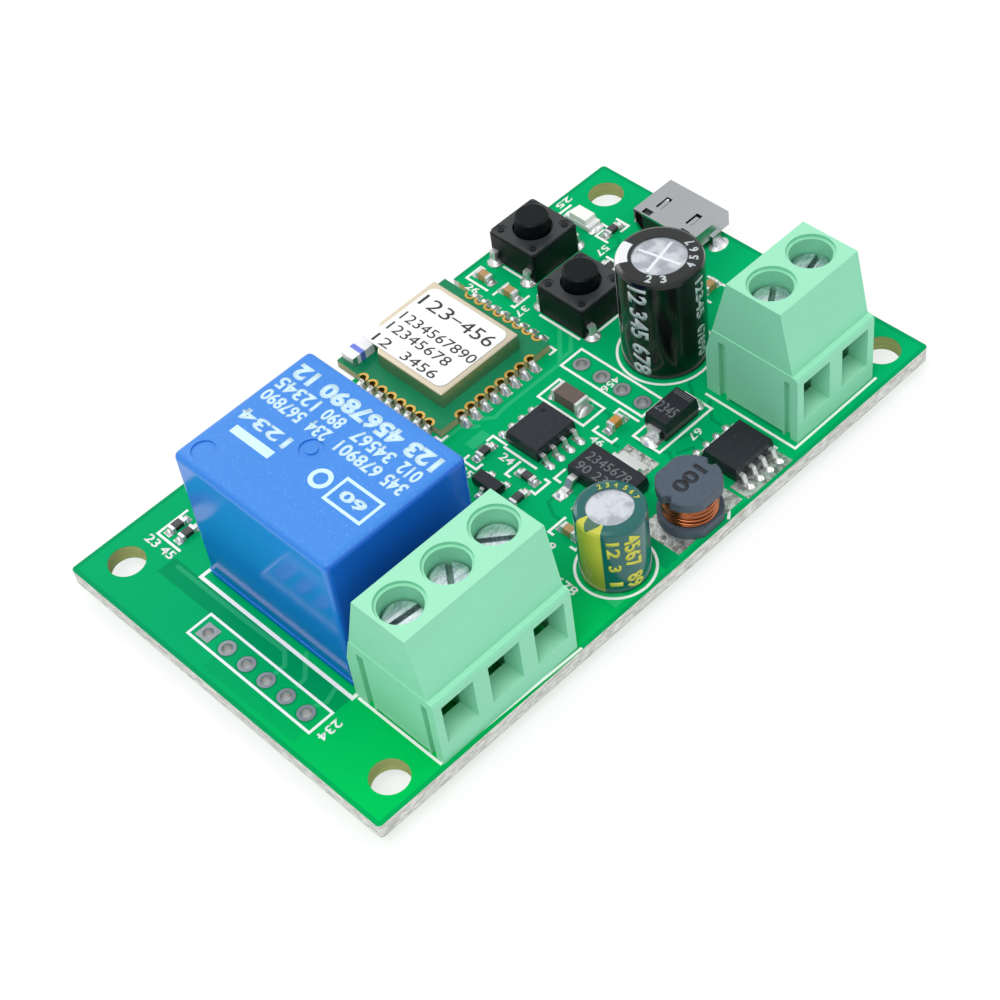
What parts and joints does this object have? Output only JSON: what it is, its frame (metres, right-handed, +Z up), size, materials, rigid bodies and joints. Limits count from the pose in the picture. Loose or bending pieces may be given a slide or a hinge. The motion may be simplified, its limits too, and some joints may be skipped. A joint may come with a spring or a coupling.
{
  "type": "relay module board",
  "caption": "Oblong relay module board with a box relay, screw terminal blocks, shielded radio module, round capacitors, push switches and a micro connector.",
  "frame": {"origin": "under the middle of the whole outline, on the plane of the trimmed pin tips", "axes": "+X runs from the six-hole header end to the micro connector end, +Y from the screw terminal edge to the radio module edge, +Z up out of the component side"},
  "size_m": [0.0684, 0.0404, 0.0186],
  "materials": {
    "solder_mask": "semi-gloss green solder mask over glass epoxy",
    "tin": "bright tinned metal",
    "gold": "thin gold plating",
    "relay_blue": "glossy moulded plastic",
    "relay_base": "matt moulded plastic",
    "bobbin": "natural nylon",
    "copper": "enamelled copper wire",
    "iron": "plated soft iron",
    "contact_bronze": "spring bronze",
    "terminal_green": "satin moulded nylon",
    "zinc_screw": "zinc plated steel",
    "zinc_cage": "plated steel",
    "switch_black": "matt black nylon",
    "switch_cover": "dark plated sheet steel",
    "can_aluminium": "drawn aluminium",
    "sleeve_black": "shrunk plastic sleeve",
    "sleeve_teal": "shrunk plastic sleeve",
    "seal_rubber": "rubber bung",
    "shell_steel": "nickel plated sheet steel",
    "module_mask": "semi-gloss solder mask",
    "label_white": "matt white label",
    "antenna_white": "white ceramic",
    "ferrite": "matt ferrite",
    "epoxy_black": "moulded epoxy",
    "chip_black": "dark glaze on ceramic",
    "chip_tan": "ceramic dielectric",
    "led_white": "moulded plastic"
  },
  "bodies": {
    "board": {"capacitor_large_can": "can_aluminium", "capacitor_large_leads": "tin", "capacitor_large_sleeve": "sleeve_black", "capacitor_seals": "seal_rubber", "capacitor_small_can": "can_aluminium", "capacitor_small_leads": "tin", "capacitor_small_sleeve": "sleeve_teal", "chip_capacitors": "chip_tan", "chip_end_caps": "tin", "chip_leads": "tin", "chip_packages": "epoxy_black", "chip_resistors": "chip_black", "circuit_board": "solder_mask", "indicator_led": "led_white", "inductor_core": "ferrite", "inductor_winding": "copper", "plated_holes": "tin", "radio_antenna": "antenna_white", "radio_board": "module_mask", "radio_castellations": "gold", "radio_label": "label_white", "radio_shield": "shell_steel", "relay_base": "relay_base", "relay_bobbin": "bobbin", "relay_case": "relay_blue", "relay_core": "iron", "relay_terminals": "tin", "relay_winding": "copper", "relay_yoke": "iron", "solder_joints": "tin", "switch_1_base": "switch_black", "switch_1_cover": "switch_cover", "switch_1_dome": "shell_steel", "switch_1_legs": "tin", "switch_2_base": "switch_black", "switch_2_cover": "switch_cover", "switch_2_dome": "shell_steel", "switch_2_legs": "tin", "terminal_2_housing": "terminal_green", "terminal_2_pins": "tin", "terminal_3_housing": "terminal_green", "terminal_3_pins": "tin", "tinned_pads": "tin", "usb_contacts": "gold", "usb_shell": "shell_steel", "usb_tongue": "epoxy_black"},
    "relay_armature": {"relay_armature": "iron", "relay_contact_spring": "contact_bronze"},
    "button_1": {"switch_1_button": "switch_black"},
    "button_2": {"switch_2_button": "switch_black"},
    "terminal_3_screw_1": {"terminal_3_screw_1": "zinc_screw"},
    "terminal_3_clamp_1": {"terminal_3_clamp_1": "zinc_cage"},
    "terminal_3_screw_2": {"terminal_3_screw_2": "zinc_screw"},
    "terminal_3_clamp_2": {"terminal_3_clamp_2": "zinc_cage"},
    "terminal_3_screw_3": {"terminal_3_screw_3": "zinc_screw"},
    "terminal_3_clamp_3": {"terminal_3_clamp_3": "zinc_cage"},
    "terminal_2_screw_1": {"terminal_2_screw_1": "zinc_screw"},
    "terminal_2_clamp_1": {"terminal_2_clamp_1": "zinc_cage"},
    "terminal_2_screw_2": {"terminal_2_screw_2": "zinc_screw"},
    "terminal_2_clamp_2": {"terminal_2_clamp_2": "zinc_cage"}
  },
  "joints": [
    {"name": "button_1_press", "type": "slide", "parent": "board", "child": "button_1", "axis": [0, 0, -1], "range_m": [0, 0.00025], "stiffness_N_per_m": 6000, "springref_m": -0.00005},
    {"name": "button_2_press", "type": "slide", "parent": "board", "child": "button_2", "axis": [0, 0, -1], "range_m": [0, 0.00025], "stiffness_N_per_m": 6000, "springref_m": -0.00005},
    {"name": "relay_armature_rock", "type": "hinge", "parent": "board", "child": "relay_armature", "pos_m": [-0.0186, 0.00858, 0.01605], "axis": [1, 0, 0], "range_deg": [0, 2.65], "stiffness_Nm_per_rad": 0.05, "springref_deg": -5.73},
    {"name": "terminal_3_screw_1_turn", "type": "hinge", "parent": "board", "child": "terminal_3_screw_1", "pos_m": [-0.02405, -0.01473, 0.0151], "axis": [0, 0, 1], "range_deg": [0, 1761]},
    {"name": "terminal_3_clamp_1_lower", "type": "slide", "parent": "board", "child": "terminal_3_clamp_1", "axis": [0, 0, -1], "range_m": [0, 0.0022]},
    {"name": "terminal_3_screw_2_turn", "type": "hinge", "parent": "board", "child": "terminal_3_screw_2", "pos_m": [-0.01897, -0.01473, 0.0151], "axis": [0, 0, 1], "range_deg": [0, 1761]},
    {"name": "terminal_3_clamp_2_lower", "type": "slide", "parent": "board", "child": "terminal_3_clamp_2", "axis": [0, 0, -1], "range_m": [0, 0.0022]},
    {"name": "terminal_3_screw_3_turn", "type": "hinge", "parent": "board", "child": "terminal_3_screw_3", "pos_m": [-0.01389, -0.01473, 0.0151], "axis": [0, 0, 1], "range_deg": [0, 1761]},
    {"name": "terminal_3_clamp_3_lower", "type": "slide", "parent": "board", "child": "terminal_3_clamp_3", "axis": [0, 0, -1], "range_m": [0, 0.0022]},
    {"name": "terminal_2_screw_1_turn", "type": "hinge", "parent": "board", "child": "terminal_2_screw_1", "pos_m": [0.01991, -0.0138, 0.0151], "axis": [0, 0, 1], "range_deg": [0, 1761]},
    {"name": "terminal_2_clamp_1_lower", "type": "slide", "parent": "board", "child": "terminal_2_clamp_1", "axis": [0, 0, -1], "range_m": [0, 0.0022]},
    {"name": "terminal_2_screw_2_turn", "type": "hinge", "parent": "board", "child": "terminal_2_screw_2", "pos_m": [0.02499, -0.0138, 0.0151], "axis": [0, 0, 1], "range_deg": [0, 1761]},
    {"name": "terminal_2_clamp_2_lower", "type": "slide", "parent": "board", "child": "terminal_2_clamp_2", "axis": [0, 0, -1], "range_m": [0, 0.0022]}
  ],
  "couplings": [
    {"joint": "terminal_3_screw_1_turn", "follows": "terminal_3_clamp_1_lower", "rad_per_m": 13963},
    {"joint": "terminal_3_screw_2_turn", "follows": "terminal_3_clamp_2_lower", "rad_per_m": 13963},
    {"joint": "terminal_3_screw_3_turn", "follows": "terminal_3_clamp_3_lower", "rad_per_m": 13963},
    {"joint": "terminal_2_screw_1_turn", "follows": "terminal_2_clamp_1_lower", "rad_per_m": 13963},
    {"joint": "terminal_2_screw_2_turn", "follows": "terminal_2_clamp_2_lower", "rad_per_m": 13963}
  ]
}
